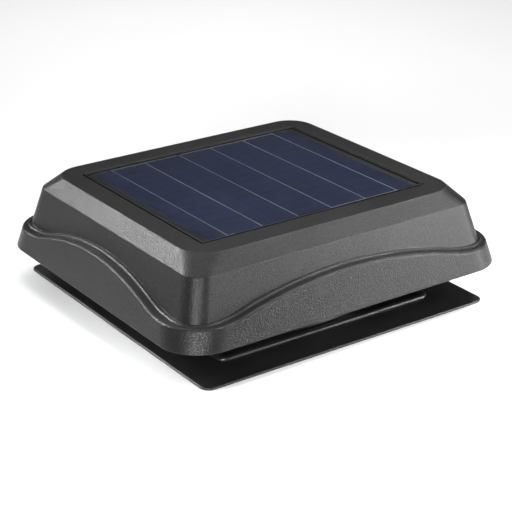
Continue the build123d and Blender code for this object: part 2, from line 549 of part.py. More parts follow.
# ------------------------------------------------------------------ motor
def make_motor_case():
    """The motor's drawn can and its cast end cap, with the pockets for the bearings."""
    inner = CAN_R - CAN_T
    can = revolved([(CAN_R, CAN_BOTTOM), (CAN_R, CAN_TOP - 3), (CAN_R - 3, CAN_TOP), (0, CAN_TOP),
                    (0, CAN_TOP - 2), (BEARING_R, CAN_TOP - 2), (BEARING_R, UPPER_BEARING - 2),
                    (BEARING_R + 3, UPPER_BEARING - 2), (BEARING_R + 3, CAN_TOP - 2),
                    (inner - 2, CAN_TOP - 2), (inner, CAN_TOP - 4), (inner, CAN_BOTTOM)])
    grommet_hole = Pos(CAN_R, 0, GROMMET_Z) * Rot(0, 90, 0) * Cylinder(4.5, 10)
    add("motor_can", can - turned(grommet_hole, ARM_ANGLES[0]))
    floor = LOWER_BEARING
    cap = revolved([(8, CAP_BOTTOM), (CAP_R - 2, CAP_BOTTOM), (CAP_R, CAP_BOTTOM + 2), (CAP_R, CAN_BOTTOM),
                    (inner - 3, CAN_BOTTOM), (inner - 3, CAP_BOTTOM + 7.5), (BEARING_R + 3.5, CAP_BOTTOM + 7.5),
                    (BEARING_R + 3.5, floor + BEARING_W), (BEARING_R, floor + BEARING_W), (BEARING_R, floor),
                    (8, floor)])
    for angle in (0, 90, 180, 270):
        x, y = polar(MOTOR_SCREW_CIRCLE, angle)
        cap = cap - rod(MOTOR_SCREW_R + 0.02, CAP_BOTTOM - 1, CAP_BOTTOM + 6.5, x, y)
    add("motor_end_cap", cap)


def make_stator():
    """The laminated core with its teeth, and one coil on each tooth."""
    outer, yoke = CAN_R - CAN_T, 31.0
    height = STATOR_TOP - STATOR_BOTTOM
    core = ring(outer, yoke, STATOR_BOTTOM, STATOR_TOP)
    shoe = ring(STATOR_BORE + 2.2, STATOR_BORE, STATOR_BOTTOM, STATOR_TOP)
    tooth_half = 3.5
    middle_z = (STATOR_BOTTOM + STATOR_TOP) / 2
    tooth = block(STATOR_BORE + 1, yoke + 1, -tooth_half, tooth_half, STATOR_BOTTOM, STATOR_TOP)
    gap = block(STATOR_BORE - 4, STATOR_BORE + 2.6, -1.2, 1.2, STATOR_BOTTOM - 1, STATOR_TOP + 1)
    core = core + (shoe - around(gap, TEETH, 180.0 / TEETH)) + around(tooth, TEETH)
    add("stator_core", core)
    coil_outer = Pos(0, 0, middle_z) * block(23.6, 30.2, -6.8, 6.8, -height / 2 - 4, height / 2 + 4)
    coil_outer = fillet(coil_outer.edges().filter_by(Axis.X), 3.5)
    core_room = block(20, 34, -tooth_half - 0.1, tooth_half + 0.1, STATOR_BOTTOM - 0.1, STATOR_TOP + 0.1)
    add("stator_windings", group(around(coil_outer - core_room, TEETH)))


def make_board():
    """The controller board on three pillars above the windings, with its components."""
    top = BOARD_BOTTOM + BOARD_T
    pieces = [ring(34.5, 17.5, BOARD_BOTTOM, top)]
    for angle in (90, 210, 330):
        x, y = polar(32.5, angle)
        pieces.append(rod(1.6, STATOR_TOP, BOARD_BOTTOM, x, y))
    switch = block(24, 29, -3, 3, top, top + 2.2)
    for angle in (0, 100, 140, 180, 220, 260):
        pieces.append(turned(switch, angle))
    for angle in (300, 325):
        x, y = polar(27.0, angle)
        pieces.append(rod(4.0, top, top + 7, x, y))
    pieces.append(turned(block(22, 30, -4, 4, top, top + 1.4), 65))
    add("controller_board", group(pieces))


def make_bearing(bottom):
    """A deep groove ball bearing: outer race, inner race, and balls in their cage."""
    middle = bottom + BEARING_W / 2
    groove = Pos(0, 0, middle) * Torus(BEARING_PITCH, BALL_R + 0.05)
    outer = ring(BEARING_R, 9.2, bottom, bottom + BEARING_W) - groove
    inner = ring(5.8, SHAFT_R, bottom, bottom + BEARING_W) - groove
    ball = Pos(BEARING_PITCH, 0, middle) * Sphere(BALL_R)
    web = block(CAGE_INNER_R + 0.05, CAGE_R - 0.05, -0.6, 0.6, middle - 2.4, middle + 2.4)
    cage = ring(CAGE_R, CAGE_INNER_R, middle + 2.1, middle + 2.7)
    cage = cage + ring(CAGE_R, CAGE_INNER_R, middle - 2.7, middle - 2.1)
    cage = cage + around(web, BALLS, 180.0 / BALLS)
    return outer, inner, around(ball, BALLS) + [cage]


def make_bearings():
    """Both bearings and the preload washer over the upper one."""
    lower_outer, lower_inner, lower_balls = make_bearing(LOWER_BEARING)
    upper_outer, upper_inner, upper_balls = make_bearing(UPPER_BEARING)
    add("bearing_outer_races", group([lower_outer, upper_outer]))
    add("bearing_inner_races", group([lower_inner, upper_inner]))
    add("lower_bearing_balls", group(lower_balls))
    add("upper_bearing_balls", group(upper_balls))
    seat = UPPER_BEARING + BEARING_W
    add("wave_washer", revolved([(9.4, seat + 0.1), (10.8, seat + 0.5), (10.8, seat + 0.9),
                                 (9.4, seat + 0.5)]))


def make_rotor():
    """The shaft with its shoulders, the rotor core and its magnet segments."""
    shaft = rod(SHAFT_R, SHAFT_BOTTOM, SHAFT_END)
    lower_shoulder = rod(5.2, LOWER_BEARING + BEARING_W, STATOR_BOTTOM - 2)
    upper_shoulder = rod(5.2, STATOR_TOP + 2, UPPER_BEARING)
    flat = block(SHAFT_R - 0.8, SHAFT_R + 2, -5, 5, HUB_BOTTOM - 4, HUB_TOP + 2)
    shaft = shaft + lower_shoulder + upper_shoulder - flat
    add("motor_shaft", chamfer(shaft.edges().filter_by(GeomType.CIRCLE).group_by(Axis.Z)[0], 0.6))
    low, high = STATOR_BOTTOM - 2, STATOR_TOP + 2
    core = ring(ROTOR_CORE_R, SHAFT_R, low, high)
    add("rotor_core", core - [rod(2.2, low - 1, high + 1, *polar(11.0, a)) for a in range(0, 360, 60)])
    sleeve = ring(MAGNET_R, ROTOR_CORE_R, low + 1, high - 1)
    gap = block(ROTOR_CORE_R - 2, MAGNET_R + 2, -0.4, 0.4, low, high)
    add("rotor_magnets", group([sleeve - around(gap, POLES)]))


# ------------------------------------------------------------------ fan wheel
def camber_strip(inner_radius, thickness, chord, x0, x1):
    """A pitched sheet, hollow side up, about the wheel plane, running outwards from x0 to x1."""
    half_angle = chord / 2 / BLADE_CAMBER_R
    outer_radius = inner_radius + thickness
    wedge_reach = outer_radius * 1.5
    edge = (wedge_reach * sin(half_angle), -wedge_reach * cos(half_angle))
    sheet = Circle(outer_radius) - Circle(inner_radius)
    wedge = make_face(Polyline((0, 0), (edge[0], edge[1]), (-edge[0], edge[1]), close=True))
    section = Pos(0, BLADE_CAMBER_R - CAMBER_RISE) * (sheet & wedge)
    strip = extrude(Plane.YZ.offset(x0) * section, x1 - x0)
    return Pos(0, 0, WHEEL_Z) * Rot(BLADE_PITCH, 0, 0) * strip


def make_wheel():
    """The hub, the riveted spider and the cambered aluminium blades."""
    hub = ring(HUB_R, SHAFT_R, HUB_BOTTOM, HUB_TOP)
    hub = chamfer(hub.edges().filter_by(GeomType.CIRCLE).group_by(Axis.Z)[0], 1.0)
    key = block(SHAFT_R - 0.8, SHAFT_R + 1, -2.6, 2.6, HUB_BOTTOM, HUB_TOP)
    screw_axis = Pos(0, 0, HUB_TOP - 6) * Rot(0, 90, 0)
    screw_hole = screw_axis * Cylinder(2.5, 40, align=(Align.CENTER, Align.CENTER, Align.MIN))
    add("fan_hub", hub + key - screw_hole)
    screw = Pos(SHAFT_R - 0.8, 0, HUB_TOP - 6) * Rot(0, 90, 0)
    body = screw * Cylinder(2.5, 7, align=(Align.CENTER, Align.CENTER, Align.MIN))
    socket = screw * Pos(0, 0, 4.5) * extrude(RegularPolygon(1.4, 6), 3)
    add("hub_set_screw", body - socket)

    blade = camber_strip(BLADE_CAMBER_R, BLADE_T, BLADE_CHORD, BLADE_ROOT_R, BLADE_TIP_R + 4)
    outline = Plane.XY * make_face(Polyline(
        (BLADE_ROOT_R, -24), (BLADE_ROOT_R, 24), (92, 44), (165, 44), (165, -44), (92, -44), close=True))
    corners = outline.vertices().sort_by(Axis.X)[0:4]
    blade = blade & extrude(fillet(corners, 9.0), 90) & rod(BLADE_TIP_R, 0, 90)
    tongue = camber_strip(BLADE_CAMBER_R + BLADE_T, SPIDER_T, TONGUE_WIDTH, 22.0, SPIDER_REACH)
    rivet_line = Pos(0, 0, WHEEL_Z) * Rot(BLADE_PITCH, 0, 0)
    rivets = []
    for x, y in RIVET_PLACES:
        face = BLADE_CAMBER_R - CAMBER_RISE - sqrt(BLADE_CAMBER_R ** 2 - y ** 2)
        back = face - BLADE_T - SPIDER_T
        shank = rivet_line * rod(1.9, back - 1.3, face + 1.2, x, y)
        top_head = rivet_line * rod(3.4, face - 0.3, face + 1.2, x, y)
        low_head = rivet_line * rod(3.2, back - 1.3, back + 0.3, x, y)
        blade = blade - shank
        tongue = tongue - shank
        rivets.append((shank + top_head + low_head) - blade - tongue)
    disc = ring(SPIDER_DISC_R, HUB_R, WHEEL_Z - 2, WHEEL_Z + 1.5)
    spider = disc + around(tongue, BLADES)
    bore = rod(HUB_R, 0, 90)
    add("fan_spider", spider - bore)
    for index in range(BLADES):
        add(f"fan_blade_{index + 1}", turned(blade, 360.0 / BLADES * index))
    wheel_rivets = []
    for rivet in rivets:
        wheel_rivets.extend(around(rivet, BLADES))
    add("blade_rivets", group(wheel_rivets))


# ------------------------------------------------------------------ wiring
def lead(points, radius):
    """A round lead along straight runs with rounded corners, and its length in the log."""
    route = FilletPolyline(*points, radius=radius)
    start = Plane(origin=route @ 0, z_dir=route % 0)
    solid = sweep(start * Circle(LEAD_R), path=route)
    expected = pi * LEAD_R ** 2 * route.length
    print(f"lead: length {route.length:.1f} mm, volume {solid.volume / expected:.3f} of its section")
    return solid


def make_leads():
    """The panel lead and the motor lead, their grommets, clips and the thermal switch."""
    drop = LEAD_DROP
    switch_edge = (SWITCH_CIRCLE + SWITCH_R) * DIAGONAL
    inside_box = BOX_CENTRE_X + BOX_X / 2 - 8
    add("panel_lead", lead([(inside_box, drop, LEAD_Z), (drop, drop, LEAD_Z), (drop, drop, ARM_LEAD_Z),
                            (switch_edge, switch_edge, ARM_LEAD_Z)], LEAD_BEND))
    near = (SWITCH_CIRCLE - SWITCH_R) * DIAGONAL
    rise, inner = 58.0 * DIAGONAL, 33.0 * DIAGONAL
    add("motor_lead", lead([(near, near, ARM_LEAD_Z), (rise, rise, ARM_LEAD_Z), (rise, rise, GROMMET_Z),
                            (inner, inner, GROMMET_Z)], 14.0))
    flat = revolved([(LEAD_R + 0.05, -2.5), (7.5, -2.5), (7.5, -0.5), (6.0, -0.5), (6.0, 0.5), (7.5, 0.5),
                     (7.5, 2.5), (LEAD_R + 0.05, 2.5)])
    small = revolved([(LEAD_R + 0.05, -3.0), (5.6, -3.0), (5.6, -1.5), (4.5, -1.5), (4.5, 0.9), (5.6, 0.9),
                      (5.6, 2.3), (LEAD_R + 0.05, 2.3)])
    wall_middle = CAN_R - CAN_T / 2
    screen_grommet = Pos(drop, drop, SCREEN_TOP + SCREEN_T / 2) * flat
    motor_grommet = Pos(wall_middle, 0, GROMMET_Z) * Rot(0, 90, 0) * small
    add("lead_grommets", group([screen_grommet, turned(motor_grommet, ARM_ANGLES[0])]))
    clips = []
    for distance in (140.0, 80.0):
        saddle = block(distance - 4, distance + 4, -8, 8, ARM_TOP, ARM_LEAD_Z)
        saddle = saddle + Pos(distance, 0, ARM_LEAD_Z) * Rot(0, 90, 0) * Cylinder(4.2, 8)
        saddle = saddle - Pos(distance, 0, ARM_LEAD_Z) * Rot(0, 90, 0) * Cylinder(LEAD_R + 0.05, 12)
        clips.append(turned(saddle, ARM_ANGLES[0]))
    wall_clip = block(LEAD_DROP_R - 4.5, SCREEN_R - SCREEN_T - 0.1, -4, 4, 95, 103)
    wall_clip = wall_clip - rod(LEAD_R + 0.05, 90, 110, LEAD_DROP_R)
    clips.append(turned(wall_clip, ARM_ANGLES[0]))
    add("lead_clips", group(clips))
    x, y = polar(SWITCH_CIRCLE, ARM_ANGLES[0])
    pieces = [rod(8.0, ARM_TOP, ARM_TOP + 2, x, y), rod(10.0, ARM_TOP + 2, ARM_TOP + 3, x, y),
              rod(SWITCH_R - 0.05, ARM_TOP + 3, ARM_TOP + 11, x, y)]
    for side in (-1, 1):
        blade = block(SWITCH_CIRCLE + side * 4 - 0.4, SWITCH_CIRCLE + side * 4 + 0.4, -3, 3,
                      ARM_TOP + 11, ARM_TOP + 17)
        pieces.append(turned(blade, ARM_ANGLES[0]))
    add("thermal_switch", group(pieces))


# ------------------------------------------------------------------ the whole object
make_hood()
make_hood_fixings()
make_panel_frame()
make_laminate()
make_panel_brackets()
make_junction_box()
make_flashing()
make_venturi()
make_screen()
make_arms()
make_motor_mount()
make_motor_case()
make_stator()
make_board()
make_bearings()
make_rotor()
make_wheel()
make_leads()

os.makedirs("parts", exist_ok=True)
for part_name, part_shape in parts.items():
    export_step(part_shape, f"parts/{part_name}.step")
print(len(parts), "nodes")
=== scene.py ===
"""Looks of the solar attic fan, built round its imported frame.

Lengths are in millimetres unless a comment says otherwise, and MM turns them into metres.
"""
import math

import bmesh
import bpy
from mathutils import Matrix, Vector


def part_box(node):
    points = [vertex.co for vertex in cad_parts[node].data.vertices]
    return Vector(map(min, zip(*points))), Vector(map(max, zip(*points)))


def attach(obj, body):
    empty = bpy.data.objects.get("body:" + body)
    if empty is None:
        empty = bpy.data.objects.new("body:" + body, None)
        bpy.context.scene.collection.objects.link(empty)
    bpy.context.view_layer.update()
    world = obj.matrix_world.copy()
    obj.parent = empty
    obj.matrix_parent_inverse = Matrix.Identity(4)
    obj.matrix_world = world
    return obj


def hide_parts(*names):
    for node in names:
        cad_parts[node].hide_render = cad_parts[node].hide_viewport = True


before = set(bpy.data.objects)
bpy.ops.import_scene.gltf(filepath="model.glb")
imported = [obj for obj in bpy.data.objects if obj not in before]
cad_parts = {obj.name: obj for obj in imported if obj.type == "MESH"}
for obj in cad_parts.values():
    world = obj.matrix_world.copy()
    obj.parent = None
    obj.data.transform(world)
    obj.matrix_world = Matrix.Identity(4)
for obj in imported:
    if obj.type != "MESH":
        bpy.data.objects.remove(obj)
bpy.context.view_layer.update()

MM = 0.001
scene = bpy.context.scene

# ------------------------------------------------------------------ driving dimensions
hood_low, hood_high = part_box("hood_shell")
HALF_X, HALF_Y = hood_high[0] / MM, hood_high[1] / MM
HOOD_BOTTOM, HOOD_TOP = hood_low[2] / MM, hood_high[2] / MM
WALL = 3.0
SKIRT_SLOPE = math.tan(math.radians(12.0))
BODY_SLOPE = math.tan(math.radians(14.0))
CREASE_Z, CREASE_INSET, TOP_INSET = 155.5, 42.7, 61.4
SHOULDER_SLOPE = (TOP_INSET - CREASE_INSET) / (HOOD_TOP - CREASE_Z)
BOTTOM_RADIUS, SKIRT_RADIUS_GAIN = 65.0, 0.12
BODY_RADIUS, TOP_RADIUS = 30.0, 45.0
LEDGE_Z = 93.0
FRONT_ARCH = (123.5, 765.0, 180.0)    # peak height, radius at the peak, radius at the ends
SIDE_ARCH = (124.5, 480.0, 150.0)
OPENING_HALF_X, OPENING_HALF_Y, OPENING_RADIUS = 205.0, 171.0, 2.0
RIM_WALL, RIM_BOTTOM, RIM_RADIUS = 2.5, 160.0, 4.0
ROLL_HEIGHT = 2.2
BOSS_X, BOSS_Y = 216.0, 186.0
BRACKET_BOSSES = ((222, 0), (-222, 0), (0, 188), (0, -188))
LEG_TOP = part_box("hood_legs")[1][2] / MM
BRACKET_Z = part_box("panel_brackets")[1][2] / MM

screen_low, screen_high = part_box("insect_screen")
SCREEN_R = 185.5
WIRE_R, WIRE_PITCH = 0.45, 6.35
HEM_HEIGHT = 6.0
EYELET_R = 11.0
LEAD_PLACE = 168.0 * math.sqrt(0.5)    # x and y of the lead where it passes the screen
RIBBON_ROOM = 2.6                      # from the cells' front and rear edges to the border film


# ------------------------------------------------------------------ mesh helpers
def mesh_object(name, verts, faces, material, smooth=True):
    """A piece from vertices in mm and faces."""
    mesh = bpy.data.meshes.new(name)
    mesh.from_pydata([(x * MM, y * MM, z * MM) for x, y, z in verts], [], faces)
    build = bmesh.new()
    build.from_mesh(mesh)
    bmesh.ops.recalc_face_normals(build, faces=build.faces)
    build.to_mesh(mesh)
    build.free()
    mesh.polygons.foreach_set("use_smooth", [smooth] * len(mesh.polygons))
    mesh.materials.append(material)
    piece = bpy.data.objects.new(name, mesh)
    scene.collection.objects.link(piece)
    return piece


def grid_faces(rings, points, close_rings):
    """Quads of a grid of rings, each a closed loop of points, with the rings closed up or not."""
    faces = []
    for a in range(rings if close_rings else rings - 1):
        b = (a + 1) % rings
        for i in range(points):
            j = (i + 1) % points
            faces.append((a * points + i, b * points + i, b * points + j, a * points + j))
    return faces


def tube(path, radius, sides, closed):
    """Vertices and faces of a thin tube along points in mm."""
    verts, count = [], len(path)
    for index, point in enumerate(path):
        before = path[index - 1] if index or closed else path[index]
        after = path[(index + 1) % count] if index < count - 1 or closed else path[index]
        along = (Vector(after) - Vector(before)).normalized()
        up = Vector((0, 0, 1)) if abs(along.z) < 0.9 else Vector((1, 0, 0))
        side = along.cross(up).normalized()
        rise = side.cross(along)
        for step in range(sides):
            angle = 2 * math.pi * step / sides
            offset = side * math.cos(angle) + rise * math.sin(angle)
            verts.append(tuple(Vector(point) + offset * radius))
    faces = grid_faces(count, sides, closed)
    if not closed:
        faces.append(tuple(range(sides)))
        faces.append(tuple(range((count - 1) * sides, count * sides))[::-1])
    return verts, faces


def joined(name, parts, material):
    """One piece from several lists of vertices and faces."""
    verts, faces = [], []
    for part_verts, part_faces in parts:
        first = len(verts)
        verts.extend(part_verts)
        faces.extend([tuple(first + i for i in face) for face in part_faces])
    return mesh_object(name, verts, faces, material)


# ------------------------------------------------------------------ materials
class Nodes:
    """A short way to build a node material."""

    def __init__(self, name):
        self.material = bpy.data.materials.new(name)
        self.material.use_nodes = True
        self.tree = self.material.node_tree
        self.shader = self.tree.nodes["Principled BSDF"]
        coords = self.tree.nodes.new("ShaderNodeTexCoord")
        self.place = coords.outputs["Object"]

    def add(self, kind, **sockets):
        """A node with its inputs set by name or linked to outputs."""
        node = self.tree.nodes.new(kind)
        for key, value in sockets.items():
            socket = node.inputs[key]
            if isinstance(value, bpy.types.NodeSocket):
                self.tree.links.new(value, socket)
            else:
                socket.default_value = value
        return node

    def noise(self, scale, detail=2.0, roughness=0.5, stretch=None):
        """A noise value in object space, optionally stretched."""
        place = self.place
        if stretch:
            mapping = self.add("ShaderNodeMapping", Vector=place, Scale=stretch)
            place = mapping.outputs["Vector"]
        node = self.add("ShaderNodeTexNoise", Vector=place, Scale=scale, Detail=detail,
                        Roughness=roughness)
        return node.outputs["Fac"]

    def ramp(self, value, low, high, to_low, to_high):
        """A value spread from one range to another, clamped."""
        node = self.add("ShaderNodeMapRange", Value=value)
        node.inputs["From Min"].default_value = low
        node.inputs["From Max"].default_value = high
        node.inputs["To Min"].default_value = to_low
        node.inputs["To Max"].default_value = to_high
        return node.outputs["Result"]

    def math(self, operation, a, b=0.0):
        """One arithmetic step."""
        node = self.tree.nodes.new("ShaderNodeMath")
        node.operation = operation
        for socket, value in zip(node.inputs, (a, b)):
            if isinstance(value, bpy.types.NodeSocket):
                self.tree.links.new(value, socket)
            else:
                socket.default_value = value
        return node.outputs[0]

    def mix(self, factor, one, two):
        """A colour between two colours."""
        node = self.tree.nodes.new("ShaderNodeMix")
        node.data_type = "RGBA"
        for socket, value in ((node.inputs[0], factor), (node.inputs[6], one), (node.inputs[7], two)):
            if isinstance(value, bpy.types.NodeSocket):
                self.tree.links.new(value, socket)
            else:
                socket.default_value = (*value, 1.0)
        return node.outputs[2]

    def bump(self, height, strength, distance):
        """Bump from a height, added to the shader's normal."""
        node = self.add("ShaderNodeBump", Height=height, Strength=strength, Distance=distance)
        self.tree.links.new(node.outputs["Normal"], self.shader.inputs["Normal"])

    def set(self, **sockets):
        """Sets or links the shader's sockets; underscores stand for spaces."""
        for key, value in sockets.items():
            socket = self.shader.inputs[key.replace("_", " ")]
            if isinstance(value, bpy.types.NodeSocket):
                self.tree.links.new(value, socket)
            elif isinstance(value, tuple):
                socket.default_value = (*value, 1.0)
            else:
                socket.default_value = value


def shades(colour, dark, light):
    """A colour made darker and lighter by two factors."""
    return tuple(c * dark for c in colour), tuple(min(1.0, c * light) for c in colour)


def grained_plastic(name, colour, spread, roughness, grain_scale, grain_depth, gloss=0.5):
    """Moulded plastic: fine pebble grain, a slight change of tone and of gloss over the surface."""
    nodes = Nodes(name)
    tone = nodes.noise(9.0, detail=3.0)
    fine = nodes.noise(grain_scale, detail=2.0, roughness=0.6)
    dark, light = shades(colour, 1 - spread, 1 + spread)
    blend = nodes.math("ADD", nodes.math("MULTIPLY", tone, 0.5), nodes.math("MULTIPLY", fine, 0.5))
    nodes.set(Base_Color=nodes.mix(nodes.ramp(blend, 0.35, 0.65, 0.0, 1.0), dark, light),
              Roughness=nodes.ramp(tone, 0.3, 0.7, roughness - 0.04, roughness + 0.04),
              Specular_IOR_Level=nodes.ramp(fine, 0.35, 0.65, gloss * 0.7, gloss * 1.3))
    pebble = nodes.add("ShaderNodeTexVoronoi", Vector=nodes.place, Scale=grain_scale * 1.3)
    height = nodes.math("ADD", nodes.math("MULTIPLY", pebble.outputs["Distance"], 0.6), fine)
    nodes.bump(height, 1.0, grain_depth * MM)
    return nodes.material


def rubber(name, colour):
    """Black rubber with a matt, slightly mottled surface."""
    nodes = Nodes(name)
    fine = nodes.noise(900.0, detail=3.0)
    nodes.set(Base_Color=nodes.mix(fine, *shades(colour, 0.7, 1.3)),
              Roughness=nodes.ramp(fine, 0.3, 0.7, 0.7, 0.85), Specular_IOR_Level=0.3)
    nodes.bump(fine, 0.4, 0.06 * MM)
    return nodes.material


def painted(name, colour, roughness=0.42):
    """Powder coat: orange-peel bump and small changes of tone."""
    nodes = Nodes(name)
    peel = nodes.noise(420.0, detail=1.5)
    tone = nodes.noise(14.0, detail=3.0)
    nodes.set(Base_Color=nodes.mix(tone, *shades(colour, 0.85, 1.15)),
              Roughness=nodes.ramp(tone, 0.3, 0.7, roughness - 0.05, roughness + 0.05))
    nodes.bump(peel, 0.5, 0.08 * MM)
    return nodes.material


def metal(name, colour, roughness, stretch=(1.0, 1.0, 1.0), brush_scale=300.0, depth=0.02):
    """Bare metal with drawn or brushed marks along the long axis of the stretch."""
    nodes = Nodes(name)
    marks = nodes.noise(brush_scale, detail=3.0, roughness=0.6, stretch=stretch)
    tone = nodes.noise(22.0, detail=4.0)
    nodes.set(Base_Color=nodes.mix(tone, *shades(colour, 0.88, 1.08)), Metallic=1.0,
              Roughness=nodes.ramp(marks, 0.25, 0.75, roughness - 0.06, roughness + 0.1))
    nodes.bump(marks, 0.5, depth * MM)
    return nodes.material


def bar_with_painted_shade_sides(name, colour):
    """Anodised bar whose sides are painted near-black as painted shade, so that the gap beside it stays
    dark.
    """
    nodes = Nodes(name)
    marks = nodes.noise(300.0, detail=3.0, roughness=0.6, stretch=(1.0, 1.0, 12.0))
    normal = nodes.add("ShaderNodeNewGeometry").outputs["True Normal"]
    upward = nodes.add("ShaderNodeSeparateXYZ", Vector=normal).outputs["Z"]
    # Upward faces keep the anodised colour; the sides get painted shade: near-black, not metallic,
    # little gloss.
    top = nodes.ramp(upward, 0.5, 0.8, 0.0, 1.0)
    nodes.set(Base_Color=nodes.mix(top, (0.003, 0.003, 0.003), colour), Metallic=top,
              Roughness=nodes.ramp(marks, 0.25, 0.75, 0.28, 0.44),
              Specular_IOR_Level=nodes.ramp(top, 0.0, 1.0, 0.05, 0.5))
    nodes.bump(marks, 0.5, 0.02 * MM)
    return nodes.material


def galvanised(name):
    """Zinc-coated sheet with its crystal spangle."""
    nodes = Nodes(name)
    cell = nodes.add("ShaderNodeTexVoronoi", Vector=nodes.place, Scale=110.0)
    shade = nodes.add("ShaderNodeSeparateColor", Color=cell.outputs["Color"]).outputs[0]
    fine = nodes.noise(500.0, detail=3.0)
    nodes.set(Base_Color=nodes.mix(shade, (0.40, 0.42, 0.44), (0.62, 0.64, 0.66)), Metallic=1.0,
              Roughness=nodes.ramp(shade, 0.0, 1.0, 0.34, 0.52))
    nodes.bump(nodes.math("ADD", nodes.math("MULTIPLY", shade, 0.4), fine), 0.3, 0.03 * MM)
    return nodes.material


def silicon():
    """Dark blue silicon cells with their fine silver fingers across the busbars."""
    nodes = Nodes("silicon_cell")
    place = nodes.add("ShaderNodeSeparateXYZ", Vector=nodes.place)
    finger_pitch = 1.8 * MM
    wave = nodes.math("FRACT", nodes.math("DIVIDE", place.outputs["Y"], finger_pitch))
    finger = nodes.math("LESS_THAN", wave, 0.07)
    grain = nodes.noise(60.0, detail=4.0, roughness=0.65)
    island = nodes.add("ShaderNodeNewGeometry").outputs["Random Per Island"]
    tone = nodes.math("ADD", nodes.math("MULTIPLY", grain, 0.5), nodes.math("MULTIPLY", island, 0.5))
    body = nodes.mix(tone, (0.0010, 0.0022, 0.0115), (0.0030, 0.0052, 0.0210))
    nodes.set(Base_Color=nodes.mix(finger, body, (0.03, 0.035, 0.06)),
              Roughness=nodes.ramp(grain, 0.3, 0.7, 0.30, 0.42), Specular_IOR_Level=0.05)
    nodes.bump(finger, 0.3, 0.02 * MM)
    return nodes.material


def pane():
    """Clear solar glass with a faint pressed texture; lamps reach the cells behind it."""
    nodes = Nodes("solar_glass")
    ripple = nodes.noise(240.0, detail=1.0)
    smear = nodes.noise(7.0, detail=4.0, roughness=0.6)
    nodes.set(Base_Color=(0.93, 0.96, 0.95), Transmission_Weight=1.0, IOR=1.45,
              Roughness=nodes.ramp(smear, 0.35, 0.75, 0.015, 0.04))
    nodes.bump(ripple, 0.15, 0.004 * MM)
    clear = nodes.add("ShaderNodeBsdfTransparent")
    clear.inputs["Color"].default_value = (0.92, 0.94, 0.94, 1.0)
    rays = nodes.add("ShaderNodeLightPath")
    blend = nodes.tree.nodes.new("ShaderNodeMixShader")
    nodes.tree.links.new(rays.outputs["Is Shadow Ray"], blend.inputs[0])
    nodes.tree.links.new(nodes.shader.outputs[0], blend.inputs[1])
    nodes.tree.links.new(clear.outputs[0], blend.inputs[2])
    output = next(n for n in nodes.tree.nodes if n.type == "OUTPUT_MATERIAL")
    nodes.tree.links.new(blend.outputs[0], output.inputs["Surface"])
    return nodes.material


def copper():
    """Enamelled copper windings: fine turns round each coil."""
    nodes = Nodes("copper_winding")
    turns = nodes.add("ShaderNodeTexWave", Vector=nodes.place, Scale=420.0, Distortion=1.2,
                      Detail=1.0)
    nodes.set(Base_Color=nodes.mix(turns.outputs["Fac"], (0.36, 0.12, 0.04), (0.68, 0.30, 0.12)),
              Metallic=0.85, Roughness=nodes.ramp(turns.outputs["Fac"], 0.0, 1.0, 0.28, 0.4))
    nodes.bump(turns.outputs["Fac"], 0.6, 0.15 * MM)
    return nodes.material


def laminations():
    """A stack of thin steel sheets: fine lines across the height."""
    nodes = Nodes("steel_laminations")
    place = nodes.add("ShaderNodeSeparateXYZ", Vector=nodes.place)
    sheet = nodes.math("FRACT", nodes.math("DIVIDE", place.outputs["Z"], 0.5 * MM))
    nodes.set(Base_Color=nodes.mix(sheet, (0.13, 0.13, 0.14), (0.30, 0.30, 0.31)), Metallic=1.0,
              Roughness=nodes.ramp(sheet, 0.0, 1.0, 0.4, 0.55))
    nodes.bump(sheet, 0.5, 0.05 * MM)
    return nodes.material


def circuit_board():
    """A green board with paler traces."""
    nodes = Nodes("circuit_board")
    traces = nodes.add("ShaderNodeTexBrick", Vector=nodes.place, Scale=260.0)
    nodes.set(Base_Color=nodes.mix(traces.outputs["Fac"], (0.012, 0.09, 0.035), (0.03, 0.17, 0.07)),
              Roughness=nodes.ramp(nodes.noise(300.0), 0.3, 0.7, 0.3, 0.42))
    nodes.bump(traces.outputs["Fac"], 0.4, 0.04 * MM)
    return nodes.material


def film(name, colour):
    """Black module film with a faint weave."""
    nodes = Nodes(name)
    weave = nodes.add("ShaderNodeTexChecker", Vector=nodes.place, Scale=900.0).outputs["Fac"]
    tone = nodes.noise(30.0, detail=3.0)
    nodes.set(Base_Color=nodes.mix(tone, *shades(colour, 0.8, 1.2)),
              Roughness=nodes.ramp(tone, 0.3, 0.7, 0.42, 0.55))
    nodes.bump(weave, 0.2, 0.02 * MM)
    return nodes.material


HOOD_PLASTIC = grained_plastic("hood_plastic", (0.008, 0.008, 0.008), 0.25, 0.34, 560.0, 0.42, 0.27)
BASE_PLASTIC = grained_plastic("base_plastic", (0.012, 0.012, 0.012), 0.10, 0.36, 900.0, 0.05)
BOX_PLASTIC = grained_plastic("box_plastic", (0.018, 0.018, 0.019), 0.12, 0.48, 700.0, 0.12)
PHENOLIC = grained_plastic("phenolic", (0.045, 0.028, 0.018), 0.15, 0.42, 800.0, 0.05)
RUBBER = rubber("black_rubber", (0.014, 0.014, 0.014))
SEALANT = rubber("black_sealant", (0.006, 0.006, 0.006))
JACKET = rubber("lead_jacket", (0.011, 0.011, 0.011))
BLACK_STEEL = painted("black_steel", (0.016, 0.016, 0.017))
MOTOR_PAINT = painted("motor_paint", (0.030, 0.031, 0.033), 0.36)
ZINC = metal("zinc_plate", (0.52, 0.53, 0.55), 0.34)
GALVANISED = galvanised("galvanised_sheet")
WIRE = painted("screen_wire", (0.012, 0.012, 0.013), 0.5)
CAST = metal("cast_aluminium", (0.56, 0.57, 0.58), 0.46, brush_scale=500.0, depth=0.05)
BLADE = metal("blade_aluminium", (0.70, 0.71, 0.72), 0.30, stretch=(1.0, 1.0, 6.0),
              brush_scale=160.0)
# Frame bars: anodised tops, with sides painted near-black as painted shade.
ANODISED_PAINTED_SHADE_SIDES = bar_with_painted_shade_sides("anodised_frame_painted_shade_sides", (0.12, 0.12, 0.125))
POLISHED = metal("ground_steel", (0.66, 0.66, 0.67), 0.16, depth=0.005)
